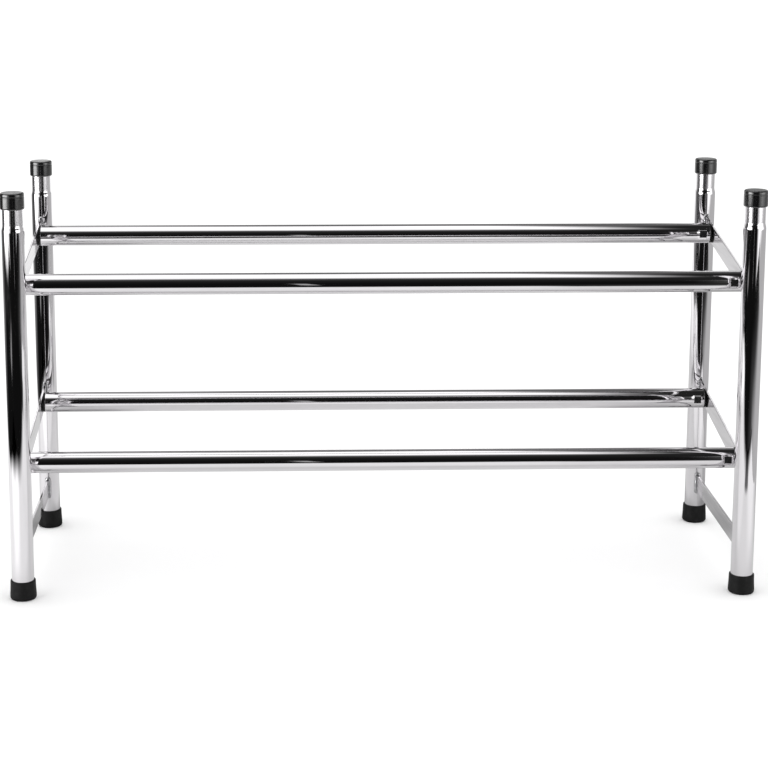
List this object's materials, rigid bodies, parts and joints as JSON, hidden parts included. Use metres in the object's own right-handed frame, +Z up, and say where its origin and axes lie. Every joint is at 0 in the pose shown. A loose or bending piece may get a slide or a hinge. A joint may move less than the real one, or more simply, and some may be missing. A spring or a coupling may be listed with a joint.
{
  "type": "extendable shoe rack",
  "caption": "Two-tier extendable shoe rack of chromed steel tube: the end frames pull apart on telescoping rails, and each tier tilts down toward the front.",
  "frame": {"origin": "on the floor, at the middle of the closed rack's footprint", "axes": "+X along the rails toward the frame that pulls out, +Y toward the rear, where the tiers are higher, +Z up"},
  "size_m": [0.6426, 0.2226, 0.352],
  "materials": {
    "tube_chrome": "polished",
    "bar_chrome": "polished",
    "cap_plastic": "semi-gloss",
    "foot_rubber": "matte",
    "fitting_plastic": "satin",
    "screw_steel": "zinc plated"
  },
  "bodies": {
    "left_frame": {"front_left_post": "tube_chrome", "rear_left_post": "tube_chrome", "left_upper_bar": "bar_chrome", "left_lower_bar": "bar_chrome", "left_bottom_brace": "bar_chrome", "front_upper_outer_rail": "tube_chrome", "rear_upper_outer_rail": "tube_chrome", "front_lower_outer_rail": "tube_chrome", "rear_lower_outer_rail": "tube_chrome", "front_upper_outer_plug": "fitting_plastic", "rear_upper_outer_plug": "fitting_plastic", "front_lower_outer_plug": "fitting_plastic", "rear_lower_outer_plug": "fitting_plastic", "front_upper_guide_bush": "fitting_plastic", "rear_upper_guide_bush": "fitting_plastic", "front_lower_guide_bush": "fitting_plastic", "rear_lower_guide_bush": "fitting_plastic", "left_rail_screws": "screw_steel", "front_left_cap": "cap_plastic", "rear_left_cap": "cap_plastic", "front_left_foot": "foot_rubber", "rear_left_foot": "foot_rubber"},
    "right_frame": {"front_right_post": "tube_chrome", "rear_right_post": "tube_chrome", "right_upper_bar": "bar_chrome", "right_lower_bar": "bar_chrome", "right_bottom_brace": "bar_chrome", "front_upper_inner_rail": "tube_chrome", "rear_upper_inner_rail": "tube_chrome", "front_lower_inner_rail": "tube_chrome", "rear_lower_inner_rail": "tube_chrome", "front_upper_inner_plug": "fitting_plastic", "rear_upper_inner_plug": "fitting_plastic", "front_lower_inner_plug": "fitting_plastic", "rear_lower_inner_plug": "fitting_plastic", "front_upper_glide_sleeve": "fitting_plastic", "rear_upper_glide_sleeve": "fitting_plastic", "front_lower_glide_sleeve": "fitting_plastic", "rear_lower_glide_sleeve": "fitting_plastic", "right_rail_screws": "screw_steel", "front_right_cap": "cap_plastic", "rear_right_cap": "cap_plastic", "front_right_foot": "foot_rubber", "rear_right_foot": "foot_rubber"}
  },
  "joints": [
    {"name": "extension", "type": "slide", "parent": "left_frame", "child": "right_frame", "axis": [1, 0, 0], "range_m": [0, 0.5]}
  ]
}
